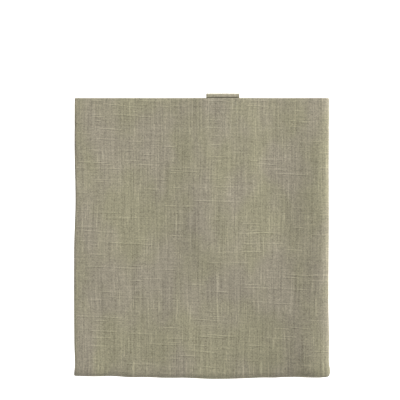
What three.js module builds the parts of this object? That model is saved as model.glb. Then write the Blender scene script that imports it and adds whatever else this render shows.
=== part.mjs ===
import * as THREE from 'three';
import { mergeVertices } from 'three/addons/utils/BufferGeometryUtils.js';

// A plain cloth tote bag with two handles, folded in half twice and lying flat. Millimetres, Z up.
// The cloth is one pocket: a front and a back panel, joined along both sides and the bottom, open at the hem.
// Its right half is folded behind its left half, and then its lower half behind its upper half.
// Seen from above, the side crease is on the right (+X), the bottom crease is at -Y and the hem is at +Y.
// The handles are turned down over the back panel, so they lie inside the first fold.

// The bag as it was cut and sewn
const bagWidth = 380;
const bagHeight = 420;
const clothThick = 1;
const hemDepth = 25;
const hemExtra = 0.2;
const strapWide = 25;
const strapThick = 1;
const legSpread = 160;

// How it is folded
const pitch = 1.95; // from one layer to the next, where nothing lies between them
const layerCount = 8;
const shortByAcross = 1.2; // how far the half that is folded behind stays inside the side edge
const shortByUp = 2;
const handleGap = 5; // gaps are numbered from 0 at the floor, and this one holds the handles
const snugGap = 0.35; // between layers that lie pressed by the handles
const clear = 0.3;
const handleSlack = 0.4; // spare height around the handles, where the pack's swells bend the layers
const loopStand = 0.6; // how far a handle stands up from its hem before it turns over

// Places worked out from the sizes above
const looseGap = pitch - clothThick;
const halfPitch = pitch / 2;
const frontHalf = (bagWidth + shortByAcross) / 2;
const backHalf = (bagWidth - shortByAcross) / 2;
const upperHalf = (bagHeight + shortByUp) / 2;
const lowerHalf = (bagHeight - shortByUp) / 2;
const sideBend = 1.5 * pitch; // radius of the outer panel at the side crease
const bottomBend = 3.5 * pitch; // radius of the outer layer at the bottom crease
const sideTurn = (Math.PI * sideBend) / 2; // half the cloth that the side crease takes up
const bottomTurn = (Math.PI * bottomBend) / 2;
const packWide = frontHalf - sideTurn + sideBend + clothThick / 2;
const packLong = upperHalf - bottomTurn + bottomBend + clothThick / 2;
const sideAxisX = packWide / 2 - sideBend - clothThick / 2;
const bottomAxisY = -packLong / 2 + bottomBend + clothThick / 2;
const stackMiddle = bottomBend + clothThick / 2;
const hemEdgeY = packLong / 2;
const legX = sideAxisX + sideTurn - legSpread / 2;
const handleSpace = 4 * strapThick + 5 * clear + handleSlack;

// Columns and rows of the cloth's faces, as distances from the side crease and from the bottom crease
const sideSteps = 4;
const bottomSteps = 6;
const endSteps = 4;
const columns = [sideTurn, 10, 17, 29.5, 42, 54.5, 67, 79.5, 92, 108, 128, 148, 166, 181];
const rowsToHem = [bottomTurn, 25, 39, 52, 64.5, 77, 89.5, 102, 114.5, 127, 139.5, 152, 168];
const hemLine = upperHalf - hemDepth;
const hemStepHalf = 0.7; // the hem's cloth grows thicker over twice this

// How the two panels close together at the bag's bottom: how far above it, and how open the pocket is there
const outerClosing = [
  { above: 0, open: 0 },
  { above: 0.45, open: 0.72 },
  { above: 1.5, open: 1 },
];
const innerClosing = [
  { above: clothThick, open: 0 },
  { above: 1.5, open: 1 },
];

// The path of a handle in plan: down from the hem, then round in a quarter of an ellipse to its middle
const archStartY = 30;
const archDrop = 66;
const archReach = 65;
const archSteps = 9;
const legSteps = 8;
const turnSteps = 4;
const pressedWide = strapWide / 2 + 13; // how far from a handle's middle line the layers are pressed
const pressedFade = 22;

// How far each edge of the pack strays outward from straight, at places along it
const leftEdge = [
  { along: 104, out: 0.1 },
  { along: 72, out: 0.2 },
  { along: 28, out: -0.7 },
  { along: -12, out: 0.4 },
  { along: -78, out: 0.1 },
  { along: -94, out: -0.2 },
  { along: -104, out: 0.7 },
];
const rightEdge = [
  { along: 104, out: 0.5 },
  { along: 20, out: 0.3 },
  { along: -50, out: 0 },
  { along: -76, out: 0.4 },
  { along: -90, out: 0.3 },
  { along: -100, out: 1.3 },
  { along: -106, out: 1.5 },
];
const bottomEdge = [
  { along: -95, out: 0 },
  { along: -68, out: 0.1 },
  { along: -46, out: 0.9 },
  { along: -16, out: 1.4 },
  { along: 14, out: 2.3 },
  { along: 44, out: 1.4 },
  { along: 67, out: 0.7 },
  { along: 80, out: 1 },
  { along: 95, out: 0.8 },
];
const edgeReach = 45; // how far into the pack an edge's straying fades away

// Where the layers stand further apart or closer, so that the pack swells or sinks: where, how wide each way,
// and how high
const swells = [
  { x: 93, y: 6, wide: 25, long: 84, rise: 3.9 },
  { x: 90, y: -10, wide: 15, long: 80, rise: 1.2 },
  { x: 86, y: -92, wide: 30, long: 34, rise: 2.8 },
  { x: 79, y: -98, wide: 14, long: 26, rise: 1.3 },
  { x: 38, y: -114, wide: 54, long: 25, rise: -2.8 },
  { x: 0, y: 4, wide: 30, long: 60, rise: 1.8 },
  { x: -92, y: 12, wide: 36, long: 44, rise: 2.7 },
  { x: -98, y: -80, wide: 22, long: 30, rise: 2 },
  { x: -16, y: -78, wide: 17, long: 24, rise: 1.4 },
];

// The side crease is pressed flatter than the rest: from which place, and by what share of each gap
const pinchFrom = 88;
const pinchShare = 0.1;

// The bottom crease is pressed squarer than round: 1 is round, and less is squarer
const bendSquare = 0.6;

// How unevenly the layers lie: the share by which a gap varies, the length of its waves each way, and how far
// the waves of one gap are turned from those of the next
const gapUneven = 0.35;
const waveAcross = 150;
const waveUp = 190;
const turnAcross = 2.1;
const turnUp = 1.3;

function smooth(t) {
  const share = Math.min(1, Math.max(0, t));
  return share * share * (3 - 2 * share);
}

function follow(edge, along) {
  // The table's value at a place, eased from row to row
  const falling = edge[0].along > edge[edge.length - 1].along;
  const rows = falling ? [...edge].reverse() : edge;
  if (along <= rows[0].along) return rows[0].out;
  for (let i = 1; i < rows.length; i += 1) {
    const from = rows[i - 1];
    const to = rows[i];
    if (along <= to.along) {
      return from.out + (to.out - from.out) * smooth((along - from.along) / (to.along - from.along));
    }
  }
  return rows[rows.length - 1].out;
}

function distanceToHandle(x, y) {
  // In plan, from the middle line of the handles
  let nearest = Infinity;
  for (const spot of handleLine) {
    nearest = Math.min(nearest, Math.hypot(x - spot.x, y - spot.y));
  }
  return nearest;
}

function gapsAt(x, y) {
  // The height of each gap between layers at a place in plan
  const pressed = 1 - smooth((distanceToHandle(x, y) - pressedWide) / pressedFade);
  const pinched = 1 - pinchShare * smooth((x - pinchFrom) / (packWide / 2 - pinchFrom));
  let swell = 0;
  for (const place of swells) {
    swell += place.rise * Math.exp(-(((x - place.x) / place.wide) ** 2) - ((y - place.y) / place.long) ** 2);
  }
  const gaps = [];
  for (let gap = 0; gap < layerCount - 1; gap += 1) {
    const waveX = Math.sin((x / waveAcross) * 2 * Math.PI + turnAcross * gap);
    const waveY = Math.cos((y / waveUp) * 2 * Math.PI + turnUp * gap);
    const loose = looseGap * (1 + gapUneven * waveX * waveY);
    const snug = gap === handleGap ? handleSpace : snugGap;
    gaps.push((loose + (snug - loose) * pressed + swell / (layerCount - 1)) * pinched);
  }
  return gaps;
}

function heightAt(x, y, height) {
  // From the height in an even stack to the height in the uneven one
  const layer = Math.min(layerCount - 1, Math.max(0, Math.floor(height / pitch)));
  const gaps = gapsAt(x, y);
  let level = layer * clothThick;
  for (let gap = 0; gap < layer; gap += 1) {
    level += gaps[gap];
  }
  const inside = height - layer * pitch;
  if (inside <= clothThick || layer === layerCount - 1) return level + inside;
  return level + clothThick + ((inside - clothThick) / looseGap) * gaps[layer];
}

function handleHeight(x, y) {
  // The middle of the gap that holds the handles, at a place in plan
  const gaps = gapsAt(x, y);
  const below = gaps.slice(0, handleGap).reduce((sum, gap) => sum + gap + clothThick, clothThick);
  return below + gaps[handleGap] / 2;
}

function strayed(x, y) {
  // The place in plan, once the edges stray from straight
  const fromLeft = smooth(1 - (x + packWide / 2) / edgeReach);
  const fromRight = smooth(1 - (packWide / 2 - x) / edgeReach);
  const fromBottom = smooth(1 - (y + packLong / 2) / edgeReach);
  return {
    x: x - follow(leftEdge, y) * fromLeft + follow(rightEdge, y) * fromRight,
    y: y - follow(bottomEdge, x) * fromBottom,
  };
}

function folded(across, up, off) {
  // A point of the cloth, given across from the side crease (left is negative), up from the bottom crease
  // (the upper half is positive) and off the pocket's middle towards its front, where it lies in the pack
  const fromSideAxis = off + pitch;
  let x = sideAxisX + across + sideTurn;
  let tall = fromSideAxis;
  if (across > sideTurn) {
    x = sideAxisX - across + sideTurn;
    tall = -fromSideAxis;
  } else if (across > -sideTurn) {
    const angle = ((across + sideTurn) / (2 * sideTurn)) * Math.PI;
    x = sideAxisX + fromSideAxis * Math.sin(angle);
    tall = fromSideAxis * Math.cos(angle);
  }
  tall += 2 * pitch;
  let y = bottomAxisY + up - bottomTurn;
  let height = tall;
  if (up < -bottomTurn) {
    y = bottomAxisY - up - bottomTurn;
    height = -tall;
  } else if (up < bottomTurn) {
    const angle = ((up + bottomTurn) / (2 * bottomTurn)) * Math.PI;
    y = bottomAxisY - tall * Math.sin(angle) ** bendSquare;
    height = -tall * Math.sign(Math.cos(angle)) * Math.abs(Math.cos(angle)) ** bendSquare;
  }
  const place = strayed(x, y);
  return new THREE.Vector3(place.x, place.y, heightAt(x, y, height + stackMiddle));
}

function ring() {
  // Once round the pocket: where each point's centre is, across, and which way it leans from there
  const endAcross = halfPitch + clothThick / 2;
  const leftEnd = -(frontHalf - endAcross);
  const rightEnd = backHalf - endAcross;
  const bend = [];
  for (let i = 1 - sideSteps / 2; i < sideSteps / 2; i += 1) {
    bend.push((i * 2 * sideTurn) / sideSteps);
  }
  const left = columns.map((distance) => -distance).reverse();
  const spots = [leftEnd, ...left, ...bend, ...columns, rightEnd];
  const leanFront = Math.PI / 2;
  const points = spots.map((across) => ({ across, lean: leanFront }));
  for (let i = 1; i < endSteps; i += 1) {
    points.push({ across: rightEnd, lean: leanFront - (i * Math.PI) / endSteps });
  }
  points.push(...spots.reverse().map((across) => ({ across, lean: -leanFront })));
  for (let i = 1; i < endSteps; i += 1) {
    points.push({ across: leftEnd, lean: -leanFront - (i * Math.PI) / endSteps });
  }
  return points;
}

function upRows(closing) {
  // From the bag's bottom to its hem: how far up each row lies, how open the pocket is and how thick the hem
  const rows = closing.map((end) => ({ up: -lowerHalf + end.above, open: end.open, hem: 0 }));
  const flat = [...rowsToHem, hemLine - hemStepHalf, hemLine + hemStepHalf];
  for (const distance of [...flat].reverse()) {
    rows.push({ up: -distance, open: 1, hem: 0 });
  }
  for (let i = 1 - bottomSteps / 2; i < bottomSteps / 2; i += 1) {
    rows.push({ up: (i * 2 * bottomTurn) / bottomSteps, open: 1, hem: 0 });
  }
  for (const distance of [...flat, upperHalf]) {
    rows.push({ up: distance, open: 1, hem: distance > hemLine ? hemExtra : 0 });
  }
  return rows;
}

function clothSkin(rows, offset, inside) {
  // One skin of the pocket, as a grid of points
  return rows.map((row) =>
    ring().map((point) => {
      const reach = halfPitch + offset - (inside ? row.hem : 0);
      const across = point.across + reach * Math.cos(point.lean);
      return folded(across, row.up, row.open * reach * Math.sin(point.lean));
    }),
  );
}

function addQuad(faces, a, b, c, d) {
  // Split from its lower left to its upper right in plan, so that stacked layers bend along the same lines
  if ((c.x - a.x) * (c.y - a.y) > 0) {
    faces.push(a, b, c, a, c, d);
  } else {
    faces.push(a, b, d, b, c, d);
  }
}

function closedGeometry(faces) {
  const loose = new THREE.BufferGeometry().setFromPoints(faces);
  const geometry = mergeVertices(loose, 1e-3);
  geometry.computeVertexNormals();
  return geometry;
}

function pocketGeometry() {
  const outer = clothSkin(upRows(outerClosing), clothThick / 2, false);
  const inner = clothSkin(upRows(innerClosing), -clothThick / 2, true);
  const faces = [];
  const around = outer[0].length;
  for (let j = 0; j < around; j += 1) {
    const next = (j + 1) % around;
    for (let i = 1; i < outer.length; i += 1) {
      addQuad(faces, outer[i - 1][j], outer[i - 1][next], outer[i][next], outer[i][j]);
    }
    for (let i = 1; i < inner.length; i += 1) {
      addQuad(faces, inner[i - 1][next], inner[i - 1][j], inner[i][j], inner[i][next]);
    }
    const outerRim = outer[outer.length - 1];
    const innerRim = inner[inner.length - 1];
    addQuad(faces, outerRim[j], outerRim[next], innerRim[next], innerRim[j]);
  }
  return closedGeometry(faces);
}

function planLine() {
  // The middle line of a handle in plan, from the hem to the handle's own middle
  const line = [];
  for (let i = 0; i <= legSteps; i += 1) {
    line.push({ x: legX, y: hemEdgeY + ((archStartY - hemEdgeY) * i) / legSteps });
  }
  for (let i = 1; i <= archSteps; i += 1) {
    const angle = (i / archSteps) * (Math.PI / 2);
    line.push({
      x: legX + archReach * (1 - Math.cos(angle)),
      y: archStartY - archDrop * Math.sin(angle),
    });
  }
  return line;
}

const handleLine = planLine();

function handleStations(seat, depth) {
  // Half of a handle, as places along it: in plan, how high above the middle of the space between the layers,
  // which way the strap goes there and which way its width lies. seat is the height of its end at the hem,
  // depth that of its leg.
  const stations = [];
  const radius = (seat - depth) / 2;
  const middle = (seat + depth) / 2;
  const loopY = hemEdgeY + clear + loopStand;
  const straight = new THREE.Vector3(1, 0, 0);
  const level = new THREE.Vector3(0, 1, 0);
  stations.push({
    x: legX,
    y: hemEdgeY + clear,
    height: seat,
    along: new THREE.Vector3(0, 1, 0),
    wide: straight,
  });
  for (let i = 0; i <= turnSteps; i += 1) {
    const angle = (i / turnSteps) * Math.PI;
    stations.push({
      x: legX,
      y: loopY + radius * Math.sin(angle),
      height: middle + radius * Math.cos(angle),
      along: new THREE.Vector3(0, Math.cos(angle), -Math.sin(angle)),
      wide: straight,
    });
  }
  for (let i = 1; i < legSteps; i += 1) {
    const y = loopY + ((archStartY - loopY) * i) / legSteps;
    stations.push({ x: legX, y, height: depth, along: new THREE.Vector3(0, -1, 0), wide: straight });
  }
  for (let i = 0; i <= archSteps; i += 1) {
    const angle = (i / archSteps) * (Math.PI / 2);
    const along = new THREE.Vector3(archReach * Math.sin(angle), -archDrop * Math.cos(angle), 0).normalize();
    stations.push({
      x: legX + archReach * (1 - Math.cos(angle)),
      y: archStartY - archDrop * Math.sin(angle),
      height: depth,
      along,
      wide: new THREE.Vector3(-along.y, along.x, 0),
    });
  }
  for (let i = 1; i <= turnSteps / 2; i += 1) {
    const angle = (i / turnSteps) * Math.PI;
    stations.push({
      x: legX + archReach + depth * Math.sin(angle),
      y: archStartY - archDrop,
      height: depth * Math.cos(angle),
      along: new THREE.Vector3(Math.cos(angle), 0, -Math.sin(angle)),
      wide: level,
    });
  }
  return stations;
}

function mirrored(station) {
  // The same place on the other half of the handle, below the fold's middle
  const { x, y, height, along, wide } = station;
  return { x, y, height: -height, along: new THREE.Vector3(-along.x, -along.y, along.z), wide };
}

function strapCorners(station) {
  // The four corners of the strap's section at a station
  const side = station.wide.clone().multiplyScalar(strapWide / 2);
  const face = new THREE.Vector3().crossVectors(station.along, station.wide).multiplyScalar(strapThick / 2);
  const centre = new THREE.Vector3(station.x, station.y, station.height);
  const corners = [
    centre.clone().add(side).add(face),
    centre.clone().add(side).sub(face),
    centre.clone().sub(side).sub(face),
    centre.clone().sub(side).add(face),
  ];
  for (const corner of corners) {
    corner.z += handleHeight(corner.x, corner.y);
    const place = strayed(corner.x, corner.y);
    corner.x = place.x;
    corner.y = place.y;
  }
  return corners;
}

function handleGeometry(seat, depth) {
  const half = handleStations(seat, depth);
  const other = half.slice(0, -1).reverse().map(mirrored);
  const sections = [...half, ...other].map(strapCorners);
  const faces = [];
  for (let i = 1; i < sections.length; i += 1) {
    const before = sections[i - 1];
    const after = sections[i];
    for (let k = 0; k < 4; k += 1) {
      const next = (k + 1) % 4;
      addQuad(faces, before[next], before[k], after[k], after[next]);
    }
  }
  const first = sections[0];
  const last = sections[sections.length - 1];
  faces.push(first[0], first[1], first[2], first[0], first[2], first[3]);
  faces.push(last[0], last[2], last[1], last[0], last[3], last[2]);
  return closedGeometry(faces);
}

const canvasCloth = new THREE.MeshStandardMaterial({ color: 0x98927d, roughness: 0.95, metalness: 0 });
const strapCloth = new THREE.MeshStandardMaterial({ color: 0x9b9580, roughness: 0.95, metalness: 0 });

const body = new THREE.Mesh(pocketGeometry(), canvasCloth);
body.name = 'body';

// Each handle's end stands over the hem of its own panel, and the back handle's leg lies next to the cloth
const backSeat = handleSpace / 2 + clothThick / 2;
const frontSeat = backSeat + clothThick + snugGap;
const frontDepth = (clear + strapThick) / 2;
const backDepth = frontDepth + strapThick + clear;

const handleFront = new THREE.Mesh(handleGeometry(frontSeat, frontDepth), strapCloth);
handleFront.name = 'handle_front';

const handleBack = new THREE.Mesh(handleGeometry(backSeat, backDepth), strapCloth);
handleBack.name = 'handle_back';

const bag = new THREE.Group();
bag.add(body, handleFront, handleBack);

// The origin is under the middle of the whole, on the surface it lies on
const box = new THREE.Box3().setFromObject(bag);
bag.position.set(-(box.min.x + box.max.x) / 2, -(box.min.y + box.max.y) / 2, -box.min.z);

export default bag;
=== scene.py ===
import math

import bmesh
import bpy
import numpy as np
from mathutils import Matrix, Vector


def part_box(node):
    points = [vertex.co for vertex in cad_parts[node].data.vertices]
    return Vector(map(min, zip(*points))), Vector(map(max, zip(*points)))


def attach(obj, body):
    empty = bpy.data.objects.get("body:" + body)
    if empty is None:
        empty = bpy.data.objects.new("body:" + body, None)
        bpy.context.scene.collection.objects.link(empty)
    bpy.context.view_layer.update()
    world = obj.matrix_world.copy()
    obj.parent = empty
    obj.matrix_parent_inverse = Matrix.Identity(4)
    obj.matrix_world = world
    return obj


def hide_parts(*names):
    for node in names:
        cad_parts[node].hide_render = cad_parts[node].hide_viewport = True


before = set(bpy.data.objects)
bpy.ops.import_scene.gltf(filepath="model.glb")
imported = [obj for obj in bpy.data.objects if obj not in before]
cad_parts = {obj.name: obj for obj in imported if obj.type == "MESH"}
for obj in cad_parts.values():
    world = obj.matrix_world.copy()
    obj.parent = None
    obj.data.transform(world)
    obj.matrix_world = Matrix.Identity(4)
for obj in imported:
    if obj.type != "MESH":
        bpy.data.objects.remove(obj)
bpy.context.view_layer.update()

# A plain cloth tote bag with two handles, folded in half twice and lying flat, seen from straight above.
# Sizes here are in millimetres, and MM turns them into the metres of the scene.
MM = 0.001

# The bag as it was cut and sewn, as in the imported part
BAG_WIDE = 380
BAG_HIGH = 420
CLOTH = 1.0
HEM_DEEP = 25
HEM_EXTRA = 0.2
STRAP_WIDE = 25
STRAP_THICK = 1.0
LEG_SPREAD = 160

# How it is folded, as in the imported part
PITCH = 1.95
LAYERS = 8
SHORT_ACROSS = 1.2
SHORT_UP = 2
HANDLE_GAP = 5
SNUG = 0.35
CLEAR = 0.3
HANDLE_SLACK = 0.4
LOOP_STAND = 0.6
ARCH_START = 30
ARCH_DROP = 66
ARCH_REACH = 65

# The bottom crease is pressed squarer than round: 1 is round, and less is squarer
BEND_SQUARE = 0.6

# Places worked out from the sizes above
FRONT_HALF = (BAG_WIDE + SHORT_ACROSS) / 2
BACK_HALF = (BAG_WIDE - SHORT_ACROSS) / 2
UPPER_HALF = (BAG_HIGH + SHORT_UP) / 2
LOWER_HALF = (BAG_HIGH - SHORT_UP) / 2
SIDE_BEND = 1.5 * PITCH
BOTTOM_BEND = 3.5 * PITCH
SIDE_TURN = math.pi * SIDE_BEND / 2
BOTTOM_TURN = math.pi * BOTTOM_BEND / 2
PACK_WIDE = FRONT_HALF - SIDE_TURN + SIDE_BEND + CLOTH / 2
PACK_LONG = UPPER_HALF - BOTTOM_TURN + BOTTOM_BEND + CLOTH / 2
SIDE_AXIS = PACK_WIDE / 2 - SIDE_BEND - CLOTH / 2
BOTTOM_AXIS = -PACK_LONG / 2 + BOTTOM_BEND + CLOTH / 2
HEM_EDGE = PACK_LONG / 2
LEG_X = SIDE_AXIS + SIDE_TURN - LEG_SPREAD / 2
HANDLE_SPACE = 4 * STRAP_THICK + 5 * CLEAR + HANDLE_SLACK
END_ROUND = PITCH / 2
FLAT_LEFT = -(FRONT_HALF - END_ROUND - CLOTH / 2)
FLAT_RIGHT = BACK_HALF - END_ROUND - CLOTH / 2
AROUND = 2 * (FLAT_RIGHT - FLAT_LEFT + math.pi * END_ROUND)

# How far each edge of the pack strays outward from straight: place along the edge, and how far out
LEFT_EDGE = [(-104, 0.7), (-94, -0.2), (-78, 0.1), (-12, 0.4), (28, -0.7), (72, 0.2), (104, 0.1)]
RIGHT_EDGE = [(-106, 1.5), (-100, 1.3), (-90, 0.3), (-76, 0.4), (-50, 0), (20, 0.3), (104, 0.5)]
BOTTOM_EDGE = [
    (-95, 0),
    (-68, 0.1),
    (-46, 0.9),
    (-16, 1.4),
    (14, 2.3),
    (44, 1.4),
    (67, 0.7),
    (80, 1),
    (95, 0.8),
]
EDGE_REACH = 45

# Where the layers stand further apart or closer: place, reach across and up, and height
SWELLS = [
    (93, 6, 25, 84, 3.9),
    (90, -10, 15, 80, 1.2),
    (86, -92, 30, 34, 2.8),
    (79, -98, 14, 26, 1.3),
    (38, -114, 54, 25, -2.8),
    (0, 4, 30, 60, 1.8),
    (-92, 12, 36, 44, 2.7),
    (-98, -80, 22, 30, 2.0),
    (-16, -78, 17, 24, 1.4),
]

# In the same way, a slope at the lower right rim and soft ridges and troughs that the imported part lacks
CREASES = [
    (72, -113, 26, 12, -1.6),
    (58, -30, 9, 42, -0.4),
    (75, 5, 7, 26, 0.25),
    (42, -64, 7, 42, -0.3),
    (60, -60, 30, 40, 0.5),
    (30, 40, 8, 40, -0.3),
    (20, 12, 8, 18, 0.3),
    (-5, 32, 7, 20, -0.25),
    (-15, -27, 7, 28, -0.3),
    (-38, -62, 8, 50, -0.35),
    (-70, 34, 8, 24, 0.3),
    (-67, -38, 7, 15, -0.25),
    (-86, -49, 8, 11, -0.3),
]

# How uneven each gap is besides: by what share of it, how long its waves are, and how far they are turned
# from one gap to the next
GAP_UNEVEN = 0.35
WAVE_ACROSS = 150
WAVE_UP = 190
TURN_ACROSS = 2.1
TURN_UP = 1.3

# The side crease is pressed flatter than the rest of the pack: from where, and by what share of each gap
PINCH_FROM = 88
PINCH = 0.1

# How far from a handle's middle line the layers above and below it are pressed, and how fast that fades
PRESSED = STRAP_WIDE / 2 + 1
PRESSED_FADE = 28

# Between which shares of the way from one face to the next a wide gap takes up its extra height
KEPT_BELOW = 0.3
KEPT_ABOVE = 0.7

# Small wrinkles: how many, how wide and long the waves are, how far they lean, and height for each width
WRINKLES = 26
WRINKLE_WIDE = (9, 30)
WRINKLE_LONG = (70, 300)
WRINKLE_LEAN = 0.05
WRINKLE_STEEP = 0.0009
WRINKLE_SEED = 12

# The pattern of the sewing. Depths are how far a seam draws the cloth in, and widths how far that reaches.
# Spots are where a strap's faces have rows of points: away from a seam, and from the strap's middle.
STITCH_LONG = 2.9
STITCH_PITCH = 3.6
THREAD = 0.36
HEM_SEAM = 22.5
HEM_SEAM_FROM = 1
HEM_SEAM_DEEP = 0.16
HEM_SEAM_WIDE = 1.1
SIDE_SEAM_DEEP = 0.3
SIDE_SEAM_TURN = 0.3
STRAP_SEAM = 2.4
STRAP_GROOVE = 0.08
STRAP_GROOVE_WIDE = 0.5
STRAP_SEAM_FROM = 2
STRAP_SEAM_SPOTS = (0.9, 0.4, 0, -0.4, -0.9)
STRAP_FLAT_SPOTS = (5.5, 2)
BOX_FROM = 3.5
BOX_HIGH = 17.5

# How fine the meshes are: sizes of faces in millimetres, and faces round each bend
RING_STEP = 2.0
RING_STEP_BACK = 4.0
ROW_STEP = 2.4
ROW_STEP_INSIDE = 7.0
SIDE_BEND_STEPS = 14
BOTTOM_BEND_STEPS = 28
END_STEPS = 10
LINE_STEPS = 24
LOOP_STEPS = 12
ARCH_STEPS = 30
MIDDLE_STEPS = 6
EDGE_STEPS = 6
LEG_STEP = 3

# Points closer together than the first are made one, and edges shorter than the second are taken out
SAME_PLACE = 0.004
NO_LENGTH = 0.001

# How wide the pocket stands open at places above the bag's bottom edge, outside and inside
OUTSIDE_CLOSING = [(0, 0), (0.2, 0.45), (0.6, 0.8), (1.5, 1)]
INSIDE_CLOSING = [(CLOTH, 0), (1.5, 1)]

# How far either side of the hem's edge its thickness comes in
HEM_EASE = 1

# The rounded edge of the mouth: how far back it starts, and the turns of its rows
MOUTH_ROUND = 0.6
MOUTH_TURNS = (0, 0.5, 1, 1.35)


def smooth(t):
    share = np.clip(t, 0, 1)
    return share * share * (3 - 2 * share)


def follow(edge, along):
    """The value of an edge's table at places along it, eased from row to row."""
    places = np.array([row[0] for row in edge], float)
    outs = np.array([row[1] for row in edge], float)
    i = np.clip(np.searchsorted(places, along) - 1, 0, len(edge) - 2)
    share = (along - places[i]) / (places[i + 1] - places[i])
    return outs[i] + (outs[i + 1] - outs[i]) * smooth(share)


def handle_line():
    """The middle line of a handle in plan, from the hem to the handle's own middle."""
    line = [(LEG_X, HEM_EDGE + (ARCH_START - HEM_EDGE) * i / LINE_STEPS) for i in range(LINE_STEPS + 1)]
    for i in range(1, LINE_STEPS + 1):
        angle = i / LINE_STEPS * math.pi / 2
        line.append((LEG_X + ARCH_REACH * (1 - math.cos(angle)), ARCH_START - ARCH_DROP * math.sin(angle)))
    return np.array(line)


HANDLE_LINE = handle_line()


def gaps_at(x, y):
    """The height of each gap between layers at places in plan."""
    away = np.full(x.shape, np.inf)
    for spot in HANDLE_LINE:
        away = np.minimum(away, np.hypot(x - spot[0], y - spot[1]))
    pressed = 1 - smooth((away - PRESSED) / PRESSED_FADE)
    swell = 0
    for across, up, wide, long, rise in SWELLS + CREASES:
        swell = swell + rise * np.exp(-(((x - across) / wide) ** 2) - ((y - up) / long) ** 2)
    pinched = 1 - PINCH * smooth((x - PINCH_FROM) / (PACK_WIDE / 2 - PINCH_FROM))
    gaps = []
    for gap in range(LAYERS - 1):
        wave_x = np.sin(x / WAVE_ACROSS * 2 * math.pi + TURN_ACROSS * gap)
        wave_y = np.cos(y / WAVE_UP * 2 * math.pi + TURN_UP * gap)
        loose = (PITCH - CLOTH) * (1 + GAP_UNEVEN * wave_x * wave_y)
        snug = HANDLE_SPACE if gap == HANDLE_GAP else SNUG
        gaps.append((loose + (snug - loose) * pressed + swell / (LAYERS - 1)) * pinched)
    return gaps


def height_at(x, y, height):
    """From heights in an even stack to heights in the uneven one. What stands a little off a face keeps its
    height in a gap that is wider than in the even stack."""
    layer = np.clip(np.floor(height / PITCH), 0, LAYERS - 1).astype(int)
    gaps = gaps_at(x, y)
    level = layer * CLOTH
    here = np.zeros(x.shape)
    for gap in range(LAYERS - 1):
        level = level + np.where(gap < layer, gaps[gap], 0)
        here = np.where(layer == gap, gaps[gap], here)
    inside = height - layer * PITCH
    whole = (inside <= CLOTH) | (layer == LAYERS - 1)
    above = inside - CLOTH
    even = PITCH - CLOTH
    wide = above + (here - even) * smooth((above / even - KEPT_BELOW) / (KEPT_ABOVE - KEPT_BELOW))
    tight = above / even * here
    return level + np.where(whole, inside, CLOTH + np.where(here > even, wide, tight))


def strayed(x, y):
    """Places in plan, once the edges stray from straight."""
    from_left = smooth(1 - (x + PACK_WIDE / 2) / EDGE_REACH)
    from_right = smooth(1 - (PACK_WIDE / 2 - x) / EDGE_REACH)
    from_bottom = smooth(1 - (y + PACK_LONG / 2) / EDGE_REACH)
    new_x = x - follow(LEFT_EDGE, y) * from_left + follow(RIGHT_EDGE, y) * from_right
    return new_x, y - follow(BOTTOM_EDGE, x) * from_bottom


def folded(across, up, off):
    """Points of the cloth where they lie in the pack. They are given across from the side crease (left is
    negative), up from the bottom crease and off the pocket's middle towards its front."""
    from_axis = off + PITCH
    turn = np.clip((across + SIDE_TURN) / (2 * SIDE_TURN), 0, 1) * math.pi
    x = SIDE_AXIS + from_axis * np.sin(turn)
    x = np.where(across > SIDE_TURN, SIDE_AXIS - across + SIDE_TURN, x)
    x = np.where(across < -SIDE_TURN, SIDE_AXIS + across + SIDE_TURN, x)
    tall = from_axis * np.cos(turn) + 2 * PITCH
    turn = np.clip((up + BOTTOM_TURN) / (2 * BOTTOM_TURN), 0, 1) * math.pi
    y = BOTTOM_AXIS - tall * np.abs(np.sin(turn)) ** BEND_SQUARE
    y = np.where(up > BOTTOM_TURN, BOTTOM_AXIS + up - BOTTOM_TURN, y)
    y = np.where(up < -BOTTOM_TURN, BOTTOM_AXIS - up - BOTTOM_TURN, y)
    height = -tall * np.sign(np.cos(turn)) * np.abs(np.cos(turn)) ** BEND_SQUARE + BOTTOM_BEND + CLOTH / 2
    z = height_at(x, y, height)
    x, y = strayed(x, y)
    return np.stack([x, y, np.maximum(z, 0)], -1)


def steps(start, stop, size):
    """Evenly spaced places from start to stop, without stop, about size apart."""
    count = max(1, round(abs(stop - start) / size))
    return [start + (stop - start) * i / count for i in range(count)]


def ring_points():
    """Once round the pocket: across, lean and length of way for each point, starting at the front's left."""
    left, right = FLAT_LEFT, FLAT_RIGHT
    spots = steps(left, -SIDE_TURN, RING_STEP)
    spots += steps(-SIDE_TURN, SIDE_TURN, 2 * SIDE_TURN / SIDE_BEND_STEPS)
    spots += steps(SIDE_TURN, right, RING_STEP_BACK) + [right]
    quarter = math.pi / 2
    turns = steps(0, math.pi, math.pi / END_STEPS)[1:]
    ring = [(s, quarter, s - left) for s in spots]
    far = right - left
    ring += [(right, quarter - a, far + a * END_ROUND) for a in turns]
    far += math.pi * END_ROUND
    ring += [(s, -quarter, far + right - s) for s in spots[::-1]]
    far += right - left
    ring += [(left, -quarter - a, far + a * END_ROUND) for a in turns]
    return np.array(ring)


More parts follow.
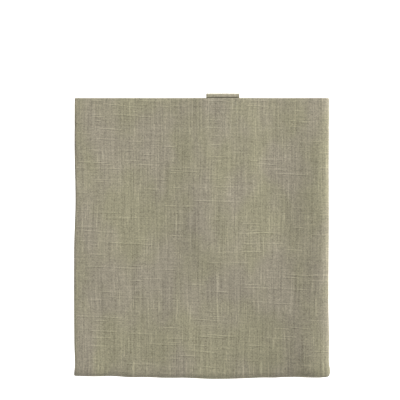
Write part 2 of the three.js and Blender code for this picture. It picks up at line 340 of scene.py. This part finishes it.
def body_rows(size, closing):
    """Rows from the bag's bottom to its hem. Each says how far up it is, how open the pocket is there, how
    much thicker the hem makes the cloth, and how full the cloth is at its edge."""
    line = UPPER_HALF - HEM_DEEP
    rows = [(-LOWER_HALF + above, opened, 0, 1) for above, opened in closing]
    last = -LOWER_HALF + closing[-1][0]
    rows += [(up, 1, 0, 1) for up in steps(last, -BOTTOM_TURN, size)[1:]]
    rows += [(up, 1, 0, 1) for up in steps(-BOTTOM_TURN, BOTTOM_TURN, 2 * BOTTOM_TURN / BOTTOM_BEND_STEPS)]
    rows += [(up, 1, 0, 1) for up in steps(BOTTOM_TURN, line - HEM_EASE, size)]
    rows += [(line + HEM_EASE * (i / 2 - 1), 1, HEM_EXTRA * i / 4, 1) for i in range(5)]
    last = UPPER_HALF - MOUTH_ROUND
    rows += [(up, 1, HEM_EXTRA, 1) for up in steps(line + HEM_EASE, last, size)[1:]]
    rows += [(last + MOUTH_ROUND * math.sin(a), 1, HEM_EXTRA, math.cos(a)) for a in MOUTH_TURNS]
    return np.array(rows)


def wrinkles(around, up):
    """Small unevenness of the cloth's face, in millimetres, longer up the cloth than across it."""
    random = np.random.default_rng(WRINKLE_SEED)
    height = 0
    for _ in range(WRINKLES):
        across_long = AROUND / round(AROUND / random.uniform(*WRINKLE_WIDE))
        up_long = random.choice([-1, 1]) * random.uniform(*WRINKLE_LONG)
        lean = random.uniform(-WRINKLE_LEAN, WRINKLE_LEAN)
        start = random.uniform(0, 2 * math.pi)
        waves = (around + lean * up) / across_long + up / up_long
        height = height + WRINKLE_STEEP * across_long * np.sin(2 * math.pi * waves + start)
    return height


def dent(away, deep, wide):
    """How far a seam draws the cloth in, at distances from it."""
    return deep * np.exp(-((away / wide) ** 2))


def hem_dent(up):
    """How far the hem's seam draws the outer face in."""
    return dent(up - UPPER_HALF + HEM_SEAM, HEM_SEAM_DEEP, HEM_SEAM_WIDE)


def skin(rows, ring, offset, inside):
    """One skin of the pocket, as a grid of points and the flat place of each."""
    up, opened, hem, full = (rows[:, i][:, None] for i in range(4))
    across, lean, way = (ring[:, i][None, :] for i in range(3))
    middle = -hem / 2
    reach = offset - (hem if inside else 0)
    reach = middle + (reach - middle) * full
    if not inside:
        reach = reach + opened * wrinkles(way, up) - hem_dent(up)
        for from_seam in (np.abs(lean) - math.pi, lean):
            reach = reach - dent(from_seam, SIDE_SEAM_DEEP, SIDE_SEAM_TURN)
    reach = reach + END_ROUND
    shape = np.broadcast_shapes(up.shape, across.shape)
    place = folded(
        np.broadcast_to(across + reach * np.cos(lean), shape),
        np.broadcast_to(up, shape),
        opened * reach * np.sin(lean),
    )
    return place, np.stack([np.broadcast_to(way, shape), np.broadcast_to(up, shape)], -1)


def quads_of(lower, upper):
    """The faces between two rings of points, or two grids of them, that run round and close on themselves."""
    corners = [lower, np.roll(lower, -1, -1), np.roll(upper, -1, -1), upper]
    return np.stack(corners, -1).reshape(-1, 4)


def make_object(name, points, faces, flat, material, seam_at=None):
    """A mesh object from points in millimetres. flat holds each point's place on the cloth. With seam_at, all
    faces have four corners, and one that crosses the place where the ring starts again has the corners that
    are past it moved on by seam_at."""
    mesh = bpy.data.meshes.new(name)
    mesh.from_pydata((points * MM).tolist(), [], [list(face) for face in faces])
    layer = mesh.uv_layers.new(name="cloth")
    corner_points = np.empty(len(mesh.loops), int)
    mesh.loops.foreach_get("vertex_index", corner_points)
    places = flat[corner_points].copy()
    if seam_at:
        widest = np.maximum.reduceat(places[:, 0], np.arange(0, len(places), 4))
        wraps = (np.repeat(widest, 4) - places[:, 0]) > seam_at / 2
        places[:, 0] += np.where(wraps, seam_at, 0)
    layer.uv.foreach_set("vector", (places * MM).astype(np.float32).ravel())
    work = bmesh.new()
    work.from_mesh(mesh)
    bmesh.ops.remove_doubles(work, verts=work.verts, dist=SAME_PLACE * MM)
    bmesh.ops.dissolve_degenerate(work, edges=work.edges, dist=NO_LENGTH * MM)
    bmesh.ops.recalc_face_normals(work, faces=work.faces)
    work.to_mesh(mesh)
    work.free()
    mesh.polygons.foreach_set("use_smooth", [True] * len(mesh.polygons))
    mesh.materials.append(material)
    piece = bpy.data.objects.new(name, mesh)
    bpy.context.scene.collection.objects.link(piece)
    return piece


class Nodes:
    """Short ways to add the nodes of a material and join them."""

    def __init__(self, name):
        self.material = bpy.data.materials.new(name)
        self.material.use_nodes = True
        self.tree = self.material.node_tree
        self.tree.nodes.clear()

    def add(self, kind, **values):
        node = self.tree.nodes.new(kind)
        for key, value in values.items():
            setattr(node, key, value)
        return node

    def join(self, source, socket):
        """Joins a node's output to a socket, or sets the socket to a number or colour."""
        if isinstance(source, (int, float, tuple)):
            socket.default_value = source
        else:
            self.tree.links.new(source, socket)

    def math(self, operation, a, b=0.0, c=0.0):
        node = self.add("ShaderNodeMath", operation=operation)
        for value, socket in zip((a, b, c), node.inputs):
            self.join(value, socket)
        return node.outputs[0]

    def flat_place(self):
        """A point's place on the flat cloth in millimetres, across and up."""
        where = self.add("ShaderNodeUVMap", uv_map="cloth")
        parts = self.add("ShaderNodeSeparateXYZ")
        self.join(where.outputs[0], parts.inputs[0])
        return [self.math("MULTIPLY", part, 1 / MM) for part in parts.outputs[:2]]

    def noise(self, x, x_rate, y, y_rate, at, detail=0.0):
        """Smooth noise on two values, each times its rate. at sets one pattern apart from the others."""
        place = self.add("ShaderNodeCombineXYZ")
        self.join(self.math("MULTIPLY", x, x_rate), place.inputs[0])
        self.join(self.math("MULTIPLY", y, y_rate), place.inputs[1])
        self.join(at, place.inputs[2])
        node = self.add("ShaderNodeTexNoise", noise_dimensions="3D")
        self.join(place.outputs[0], node.inputs["Vector"])
        node.inputs["Scale"].default_value = 1.0
        node.inputs["Detail"].default_value = detail
        return node.outputs["Fac"]

    def ramp(self, value, low, high, to_low=0.0, to_high=1.0, kind="SMOOTHSTEP"):
        node = self.add("ShaderNodeMapRange", interpolation_type=kind)
        for source, key in zip((value, low, high, to_low, to_high), range(5)):
            self.join(source, node.inputs[key])
        return node.outputs[0]

    def mix(self, share, a, b, blend="MIX"):
        node = self.add("ShaderNodeMix", data_type="RGBA", blend_type=blend)
        self.join(share, node.inputs["Factor"])
        self.join(a, node.inputs[6])
        self.join(b, node.inputs[7])
        return node.outputs[2]

    def shader(self, colour, **values):
        """The material's surface, with a colour and other values by the names of their sockets."""
        node = self.add("ShaderNodeBsdfPrincipled")
        self.join(colour, node.inputs["Base Color"])
        for key, value in values.items():
            self.join(value, node.inputs[key.replace("_", " ")])
        out = self.add("ShaderNodeOutputMaterial")
        self.join(node.outputs[0], out.inputs[0])
        return node

    def raise_by(self, shader, height, deep, strength=1.0):
        """Bump on a shader, so many millimetres deep."""
        bump = self.add("ShaderNodeBump")
        bump.inputs["Strength"].default_value = strength
        bump.inputs["Distance"].default_value = deep * MM
        self.join(height, bump.inputs["Height"])
        self.join(bump.outputs[0], shader.inputs["Normal"])


# The weave. Warp yarns run up the cloth and weft yarns across it: the distances between them in
# millimetres, and how far the weft climbs for each millimetre across
YARN_ACROSS = 0.66
YARN_UP = 0.7
RUN_OFF = 0.035

# How far the yarns wander from straight in millimetres, and how quickly that changes across and up
WARP_WANDER = 2.0
WARP_WANDER_RATES = (0.03, 0.03)
WEFT_WANDER = 2.5
WEFT_WANDER_RATES = (0.02, 0.012)

# How quickly a yarn's tone, its short dashes and its slubs change along it, for each millimetre
WARP_TONE = 0.022
WEFT_TONE = 0.05
WARP_DASH = 0.8
WEFT_DASH = 0.7
WARP_SLUB = 0.045
WEFT_SLUB = 0.034

# How far apart the patterns of neighbouring yarns are taken from the noise, so that they differ
TONE_APART = 5.37
DASH_APART = 3.7
SLUB_APART = 3.19

# From which value of the noise a slub starts, and where it is full
WARP_SLUB_RAMP = (0.69, 0.77)
WEFT_SLUB_RAMP = (0.68, 0.76)

# How much of a yarn's height comes from its place over the next, and how much slubs add to it
CROWN = 0.45
WARP_SLUB_HIGH = 0.35
WEFT_SLUB_HIGH = 0.45

# The surface of the cloth: its bump in millimetres, the two ends of its tone (the yarns' own tones, with
# painted shade in the hollows), and how rough it is, in hollows and on yarns
WEAVE_DEEP = 0.16
WEAVE_STRENGTH = 0.6
CLOTH_DARK = (0.136, 0.124, 0.089, 1)
CLOTH_LIGHT = (0.37, 0.341, 0.245, 1)
ROUGH_HOLLOW = 0.98
ROUGH_YARN = 0.86

# Soft patches: how quickly they change across and up, how sharp their edges are, and their two tints
PATCH_RATES = (0.035, 0.02)
PATCH_RAMP = (0.35, 0.65)
PATCH_GREY = (1.015, 0.998, 1.045, 1)
PATCH_GREEN = (0.99, 1.005, 0.935, 1)

# The sewing thread: how quickly its twist turns along and round it, its bump, and its colour on the crowns of
# the twist with a darker copy as painted shade in the grooves
TWIST_ALONG = 14.0
TWIST_ROUND = 5.0
THREAD_DEEP = 0.05
THREAD_GROOVE_SHADE = (0.25, 0.235, 0.17, 1)
THREAD_LIGHT = (0.36, 0.34, 0.25, 1)


def woven(name):
    """A plain weave of uneven yarns with slubs, on the flat places of the cloth."""
    n = Nodes(name)
    across, up = n.flat_place()

    # The yarns don't run quite straight
    bow = n.noise(across, WEFT_WANDER_RATES[0], up, WEFT_WANDER_RATES[1], 3.0)
    sway = n.noise(across, WARP_WANDER_RATES[0], up, WARP_WANDER_RATES[1], 9.0)
    across_bent = n.math("MULTIPLY_ADD", sway, WARP_WANDER, across)
    up_bent = n.math("MULTIPLY_ADD", across, RUN_OFF, n.math("MULTIPLY_ADD", bow, WEFT_WANDER, up))
    warp = n.math("MULTIPLY", across_bent, 1 / YARN_ACROSS)
    weft = n.math("MULTIPLY", up_bent, 1 / YARN_UP)
    warp_index = n.math("FLOOR", warp)
    weft_index = n.math("FLOOR", weft)
    weft_next = n.math("ADD", weft_index, 1.0)
    warp_round = n.math("SINE", n.math("MULTIPLY", n.math("FRACT", warp), math.pi))
    weft_round = n.math("SINE", n.math("MULTIPLY", n.math("FRACT", weft), math.pi))
    over = n.math("FLOORED_MODULO", n.math("ADD", warp_index, weft_index), 2.0)

    # Each yarn has its own tone, with short dashes along it, and thick places that stand out pale
    warp_tone = n.noise(warp_index, TONE_APART, up, WARP_TONE, 1.0, 1.0)
    weft_tone = n.noise(across, WEFT_TONE, weft_index, TONE_APART, 5.0, 1.0)
    warp_dash = n.noise(warp_index, DASH_APART, up, WARP_DASH, 12.0, 1.0)
    weft_dash = n.noise(across, WEFT_DASH, weft_index, DASH_APART, 15.0, 1.0)
    warp_slub = n.ramp(n.noise(warp_index, SLUB_APART, up, WARP_SLUB, 21.0), *WARP_SLUB_RAMP)
    weft_slub = n.ramp(n.noise(across, WEFT_SLUB, weft_index, SLUB_APART, 31.0), *WEFT_SLUB_RAMP)
    # The next yarn's slub, used in the tone as painted shadow on this yarn
    slub_shadow_below = n.ramp(n.noise(across, WEFT_SLUB, weft_next, SLUB_APART, 31.0), *WEFT_SLUB_RAMP)

    # The height of whichever yarn is on top
    high = 0.0
    for own, other, slub, slub_high, on_top in (
        (warp_round, weft_round, warp_slub, WARP_SLUB_HIGH, over),
        (weft_round, warp_round, weft_slub, WEFT_SLUB_HIGH, n.math("SUBTRACT", 1.0, over)),
    ):
        crown = n.math("MULTIPLY", own, n.math("MULTIPLY_ADD", other, CROWN, 1 - CROWN))
        crown = n.math("MULTIPLY_ADD", slub, slub_high, crown)
        high = n.math("MULTIPLY_ADD", crown, on_top, high)

    # The tone: each pattern, less its middle, times its weight. A slub paints shade on the yarn just below
    # it, as the slub's shadow.
    tone = 0.0
    for pattern, middle, weight in (
        (warp_tone, 0.5, 1.65),
        (weft_tone, 0.5, 0.8),
        (warp_dash, 0.5, 1.8),
        (weft_dash, 0.5, 1.4),
        (warp_slub, 0.0, 0.5),
        (weft_slub, 0.0, 0.48),
        (slub_shadow_below, 0.0, -0.3),
        # The yarns' height paints shade in the hollows and a paler colour on raised yarn tops
        (high, 0.6, 0.3),
    ):
        tone = n.math("MULTIPLY_ADD", n.math("SUBTRACT", pattern, middle), weight, tone)
    colour = n.mix(n.ramp(tone, -1.0, 1.0, kind="LINEAR"), CLOTH_DARK, CLOTH_LIGHT)

    # Soft patches, greener and greyer
    patch = n.ramp(n.noise(across, PATCH_RATES[0], up, PATCH_RATES[1], 40.0, 2.0), *PATCH_RAMP)
    colour = n.mix(1.0, colour, n.mix(patch, PATCH_GREY, PATCH_GREEN), "MULTIPLY")

    rough = n.ramp(high, 0.0, 1.0, ROUGH_HOLLOW, ROUGH_YARN, "LINEAR")
    shader = n.shader(colour, Roughness=rough, Specular_IOR_Level=0.2, Sheen_Weight=0.08, Sheen_Roughness=0.6)
    n.raise_by(shader, high, WEAVE_DEEP, WEAVE_STRENGTH)
    return n.material


def spun(name):
    """Twisted sewing thread, on the flat places of its own stitches."""
    n = Nodes(name)
    along, round_it = n.flat_place()
    turn = n.math("MULTIPLY_ADD", along, TWIST_ALONG, n.math("MULTIPLY", round_it, TWIST_ROUND))
    twist = n.math("SINE", turn)
    # The grooves of the twist are painted darker, as shade, and its crowns paler
    colour = n.mix(n.ramp(twist, -1.0, 1.0), THREAD_GROOVE_SHADE, THREAD_LIGHT)
    shader = n.shader(colour, Roughness=0.7, Sheen_Weight=0.1)
    n.raise_by(shader, twist, THREAD_DEEP)
    return n.material


cloth_material = woven("woven_cloth")
strap_material = woven("woven_strap")
thread_material = spun("sewing_thread")


def make_body():
    """The pocket, with a fine outer skin and a plainer inner one, joined round the hem."""
    ring = ring_points()
    outer, outer_flat = skin(body_rows(ROW_STEP, OUTSIDE_CLOSING), ring, CLOTH / 2, False)
    inner, inner_flat = skin(body_rows(ROW_STEP_INSIDE, INSIDE_CLOSING), ring, -CLOTH / 2, True)
    outer_ids = np.arange(outer_flat[..., 0].size).reshape(outer_flat.shape[:2])
    inner_ids = np.arange(inner_flat[..., 0].size).reshape(inner_flat.shape[:2]) + outer_ids.size
    faces = [
        quads_of(outer_ids[:-1], outer_ids[1:]),
        quads_of(inner_ids[:-1], inner_ids[1:])[:, ::-1],
        quads_of(outer_ids[-1], inner_ids[-1]),
    ]
    points = np.concatenate([outer.reshape(-1, 3), inner.reshape(-1, 3)])
    flat = np.concatenate([outer_flat.reshape(-1, 2), inner_flat.reshape(-1, 2)])
    shift = np.array(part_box("body")[0]) / MM - points.min(0)
    shift[2] = 0
    piece = make_object("bag_body", points + shift, np.concatenate(faces), flat, cloth_material, AROUND)
    return piece, shift


body, shift = make_body()
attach(body, "root")
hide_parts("body")


def panel_points(across, up, off, side):
    """Points off the outer face of the front panel (side 1) or the back one (side -1)."""
    way = across - FLAT_LEFT
    if side < 0:
        way = AROUND - math.pi * END_ROUND - way
    reach = END_ROUND + CLOTH / 2 + wrinkles(way, up) - hem_dent(up) + off
    return folded(across, up, side * reach)


def marks_along(corners):
    """The start and end of each stitch on straight lines from corner to corner."""
    marks = []
    for (a, b), (c, d) in zip(corners, corners[1:]):
        count = max(1, round(math.hypot(c - a, d - b) / STITCH_PITCH))
        for i in range(count):
            start = (i + 0.5 - STITCH_LONG / STITCH_PITCH / 2) / count
            stop = (i + 0.5 + STITCH_LONG / STITCH_PITCH / 2) / count
            marks.append((a + (c - a) * start, b + (d - b) * start, a + (c - a) * stop, b + (d - b) * stop))
    return marks


# A stitch from end to end: place along it, thickness and how far its middle line lies off the face
STITCH_FORM = [
    (-1, 0.35, -0.16),
    (-0.8, 0.85, -0.05),
    (-0.3, 1, 0.02),
    (0.3, 1, 0.02),
    (0.8, 0.85, -0.05),
    (1, 0.35, -0.16),
]
STITCH_SIDES = 6


def stitch_mesh(marks, place):
    """Points, faces and flat places of a row of stitches. place gives points from flat ones and a height."""
    marks = np.array(marks)
    middle = (marks[:, :2] + marks[:, 2:]) / 2
    run = (marks[:, 2:] - marks[:, :2]) / 2
    long = np.hypot(run[:, 0], run[:, 1])[:, None]
    side = np.stack([-run[:, 1], run[:, 0]], -1) / long
    share, thick, lift = np.array(STITCH_FORM).T
    turn = np.arange(STITCH_SIDES) / STITCH_SIDES * 2 * math.pi
    round_it = THREAD / 2 * thick[:, None] * np.cos(turn)
    flat = middle[:, None, None, :] + run[:, None, None, :] * share[:, None, None]
    flat = flat + side[:, None, None, :] * round_it[:, :, None]
    off = np.broadcast_to(lift[:, None] + THREAD / 2 * thick[:, None] * np.sin(turn), flat.shape[:3])
    points = place(flat[..., 0], flat[..., 1], off).reshape(-1, 3)
    ids = np.arange(len(points)).reshape(flat.shape[:3])
    faces = quads_of(ids[:, :-1], ids[:, 1:]).tolist()
    faces += ids[:, 0, ::-1].tolist() + ids[:, -1].tolist()
    along = np.broadcast_to((long * share)[:, :, None], flat.shape[:3])
    around = np.broadcast_to(turn * THREAD / 2, flat.shape[:3])
    return points, faces, np.stack([along, around], -1).reshape(-1, 2)


def joined(meshes):
    """Several rows of stitches as one mesh."""
    points, faces, flats = [], [], []
    count = 0
    for some_points, some_faces, some_flat in meshes:
        points.append(some_points)
        faces += [[corner + count for corner in face] for face in some_faces]
        flats.append(some_flat)
        count += len(some_points)
    return np.concatenate(points), faces, np.concatenate(flats)


def hem_stitches():
    """The seam round the mouth, and a crossed box where each end of a handle is sewn in."""
    seam = UPPER_HALF - HEM_SEAM
    low = UPPER_HALF - BOX_FROM - BOX_HIGH
    high = UPPER_HALF - BOX_FROM
    half = STRAP_WIDE / 2 - STRAP_SEAM
    rows = []
    for side in (1, -1):
        marks = marks_along([(FLAT_LEFT + HEM_SEAM_FROM, seam), (FLAT_RIGHT - HEM_SEAM_FROM, seam)])
        for leg in (-LEG_SPREAD / 2, LEG_SPREAD / 2):
            left, right = leg - half, leg + half
            marks += marks_along([(left, low), (right, low), (right, high), (left, high), (left, low)])
            marks += marks_along([(left, low), (right, high)])
            marks += marks_along([(left, high), (right, low)])
        rows.append(stitch_mesh(marks, lambda across, up, off: panel_points(across, up, off, side)))
    return joined(rows)


def handle_height(x, y):
    """The middle of the gap that holds the handles, at places in plan."""
    gaps = gaps_at(x, y)
    return sum(gaps[:HANDLE_GAP]) + (HANDLE_GAP + 1) * CLOTH + gaps[HANDLE_GAP] / 2


def handle_path(seat, depth):
    """A handle from end to end, one row for each place: its middle (the height is off the middle of the gap),
    the way it goes there, the way its width lies, and the length of way so far. seat is the height of its end
    at the hem, and depth that of its leg."""
    radius = (seat - depth) / 2
    loop_y = HEM_EDGE + CLEAR + LOOP_STAND
    half = [(LEG_X, HEM_EDGE + CLEAR, seat, 0, 1, 0, 1, 0, 0)]
    for i in range(LOOP_STEPS + 1):
        angle = i / LOOP_STEPS * math.pi
        y = loop_y + radius * math.sin(angle)
        z = (seat + depth) / 2 + radius * math.cos(angle)
        half.append((LEG_X, y, z, 0, math.cos(angle), -math.sin(angle), 1, 0, 0))
    half += [(LEG_X, y, depth, 0, -1, 0, 1, 0, 0) for y in steps(loop_y, ARCH_START, LEG_STEP)[1:]]
    for i in range(ARCH_STEPS + 1):
        angle = i / ARCH_STEPS * math.pi / 2
        x = LEG_X + ARCH_REACH * (1 - math.cos(angle))
        y = ARCH_START - ARCH_DROP * math.sin(angle)
        along = np.array([ARCH_REACH * math.sin(angle), -ARCH_DROP * math.cos(angle)])
        along = along / np.hypot(along[0], along[1])
        half.append((x, y, depth, along[0], along[1], 0, -along[1], along[0], 0))
    for i in range(1, MIDDLE_STEPS + 1):
        angle = i / MIDDLE_STEPS * math.pi / 2
        x = LEG_X + ARCH_REACH + depth * math.sin(angle)
        z = depth * math.cos(angle)
        half.append((x, ARCH_START - ARCH_DROP, z, math.cos(angle), 0, -math.sin(angle), 0, 1, 0))
    half = np.array(half)

    # The second half runs back along the first, as far below the middle of the gap as that is above it
    path = np.concatenate([half, half[-2::-1] * np.array([1, 1, -1, -1, -1, 1, 1, 1, 1])])
    way = np.concatenate([[0], np.cumsum(np.linalg.norm(np.diff(path[:, :3], axis=0), axis=1))])
    return np.column_stack([path, way])


def strap_points(path, way, across, off):
    """Points of a handle from the way along it, the place across it and the height off its middle."""
    spot = np.stack([np.interp(way, path[:, 9], path[:, i]) for i in range(9)], -1)
    along = spot[..., 3:6] / np.linalg.norm(spot[..., 3:6], axis=-1, keepdims=True)
    wide = spot[..., 6:9] / np.linalg.norm(spot[..., 6:9], axis=-1, keepdims=True)
    points = spot[..., :3] + wide * across[..., None] + np.cross(along, wide) * off[..., None]
    height = points[..., 2] + handle_height(points[..., 0], points[..., 1])
    x, y = strayed(points[..., 0], points[..., 1])
    return np.stack([x, y, height], -1)


def strap_section():
    """Once round the strap, with its faces drawn in by the sewing: across it, off its middle and the length
    of way."""
    half = (STRAP_WIDE - STRAP_THICK) / 2
    seam = STRAP_WIDE / 2 - STRAP_SEAM
    side = [half, *(seam + away for away in STRAP_SEAM_SPOTS), *STRAP_FLAT_SPOTS]
    spots = side + [-w for w in reversed(side)]
    face = [(w, STRAP_THICK / 2 - dent(abs(w) - seam, STRAP_GROOVE, STRAP_GROOVE_WIDE)) for w in spots]
    bend = [math.pi * i / EDGE_STEPS for i in range(1, EDGE_STEPS)]
    left = [(-half - STRAP_THICK / 2 * math.sin(a), STRAP_THICK / 2 * math.cos(a)) for a in bend]
    under = [(-w, -off) for w, off in face]
    right = [(-w, -off) for w, off in left]
    loop = np.array(face + left + under + right)
    gone = np.linalg.norm(np.diff(loop, axis=0, append=loop[:1]), axis=1)
    return loop[:, 0], loop[:, 1], np.concatenate([[0], np.cumsum(gone[:-1])])


def make_handle(name, node, seat, depth):
    """A sewn strap on its path, and the stitches along both its edges, on both faces."""
    path = handle_path(seat, depth)
    across, off, round_it = strap_section()
    shape = (len(path), len(across))
    round_it, way, across, off = (
        np.broadcast_to(values, shape) for values in (round_it, path[:, 9][:, None], across, off)
    )
    points = strap_points(path, way, across, off).reshape(-1, 3)
    ids = np.arange(way.size).reshape(shape)
    faces = quads_of(ids[:-1], ids[1:]).tolist() + [ids[0, ::-1].tolist(), ids[-1].tolist()]
    flat = np.stack([round_it, way], -1).reshape(-1, 2)
    strap = make_object(name, points + shift, faces, flat, strap_material)
    seam = STRAP_WIDE / 2 - STRAP_SEAM
    face = STRAP_THICK / 2 - STRAP_GROOVE
    whole = path[-1, 9]
    marks = []
    for edge in (seam, -seam):
        marks += marks_along([(STRAP_SEAM_FROM, edge), (whole - STRAP_SEAM_FROM, edge)])
    rows = []
    for side in (1, -1):
        rows.append(stitch_mesh(marks, lambda a, b, lift: strap_points(path, a, b, side * (face + lift))))
    points, faces, flat = joined(rows)
    threads = make_object(name + "_stitches", points + shift, faces, flat, thread_material)
    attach(strap, "root")
    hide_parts(node)
    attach(threads, "root")


seam_points, seam_faces, seam_flat = hem_stitches()
hem_threads = make_object("hem_stitches", seam_points + shift, seam_faces, seam_flat, thread_material)
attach(hem_threads, "root")

# Each handle's end stands over the hem of its own panel, and the back handle's leg lies next to the cloth
BACK_SEAT = HANDLE_SPACE / 2 + CLOTH / 2
FRONT_SEAT = BACK_SEAT + CLOTH + SNUG
FRONT_DEPTH = (CLEAR + STRAP_THICK) / 2
BACK_DEPTH = FRONT_DEPTH + STRAP_THICK + CLEAR
make_handle("front_strap", "handle_front", FRONT_SEAT, FRONT_DEPTH)
make_handle("back_strap", "handle_back", BACK_SEAT, BACK_DEPTH)

# The camera: straight above, with the pack where the photograph has it. Its height is in metres.
PIXELS = 400
LEFT_PIXEL = 74.7
RIGHT_PIXEL = 328.3
BOTTOM_PIXEL = 376.1
CAMERA_HIGH = 2.0
SENSOR = 36.0
per_pixel = PACK_WIDE / (RIGHT_PIXEL - LEFT_PIXEL)
view_x = (-PACK_WIDE / 2 + (PIXELS / 2 - LEFT_PIXEL) * per_pixel + shift[0]) * MM
view_y = (-PACK_LONG / 2 + (BOTTOM_PIXEL - PIXELS / 2) * per_pixel + shift[1]) * MM
edge_high = LAYERS / 2 * PITCH * MM
lens = bpy.data.cameras.new("photo_camera")
lens.sensor_width = SENSOR
lens.lens = SENSOR * (CAMERA_HIGH - edge_high) / (PIXELS * per_pixel * MM)
camera = bpy.data.objects.new("photo_camera", lens)
camera.location = (view_x, view_y, CAMERA_HIGH)
bpy.context.scene.collection.objects.link(camera)
bpy.context.scene.camera = camera

# Soft studio light, in metres and watts: a low key from the upper right of the picture, a small lamp beyond
# the open end, which lights that end a little more, and even light from all round
KEY_REACH = 8.0
KEY_RISE = math.radians(34)
KEY_SIDE = math.radians(28)
KEY_SIZE = 3.0
KEY_POWER = 850
TOP_PLACE = (0, 0.85, 0.55)
TOP_SIZE = 0.4
TOP_POWER = 2.6
ROUND_LIGHT = 0.42


def disk_lamp(name, place, size, power):
    """A round lamp, turned to the middle of the pack."""
    light = bpy.data.lights.new(name, "AREA")
    light.shape = "DISK"
    light.size = size
    light.energy = power
    lamp = bpy.data.objects.new(name, light)
    lamp.location = place
    yaw = math.atan2(-place[1], -place[0]) - math.pi / 2
    pitch = math.atan2(-place[2], math.hypot(place[0], place[1])) + math.pi / 2
    lamp.rotation_euler = (pitch, 0, yaw)
    bpy.context.scene.collection.objects.link(lamp)


key_place = (
    KEY_REACH * math.cos(KEY_RISE) * math.cos(KEY_SIDE),
    KEY_REACH * math.cos(KEY_RISE) * math.sin(KEY_SIDE),
    KEY_REACH * math.sin(KEY_RISE),
)
disk_lamp("key", key_place, KEY_SIZE, KEY_POWER)
disk_lamp("top", TOP_PLACE, TOP_SIZE, TOP_POWER)

world = bpy.data.worlds.new("studio")
world.use_nodes = True
world.node_tree.nodes["Background"].inputs["Color"].default_value = (1, 1, 1, 1)
world.node_tree.nodes["Background"].inputs["Strength"].default_value = ROUND_LIGHT
bpy.context.scene.world = world
bpy.context.scene.view_settings.view_transform = "Standard"

# The floor: a pale lit table, a little below the pack, in metres
FLOOR_HALF = 3.0
FLOOR_HIGH = -0.0003
FLOOR_COLOUR = (0.85, 0.85, 0.85, 1)
FLOOR_GLOW = 1.2
table = Nodes("pale_table")
table.shader(FLOOR_COLOUR, Roughness=0.9, Emission_Color=(1, 1, 1, 1), Emission_Strength=FLOOR_GLOW)
corners = [(-1, -1), (1, -1), (1, 1), (-1, 1)]
floor_mesh = bpy.data.meshes.new("floor")
floor_mesh.from_pydata([(x * FLOOR_HALF, y * FLOOR_HALF, FLOOR_HIGH) for x, y in corners], [], [(0, 1, 2, 3)])
floor_mesh.materials.append(table.material)
floor = bpy.data.objects.new("floor", floor_mesh)
bpy.context.scene.collection.objects.link(floor)

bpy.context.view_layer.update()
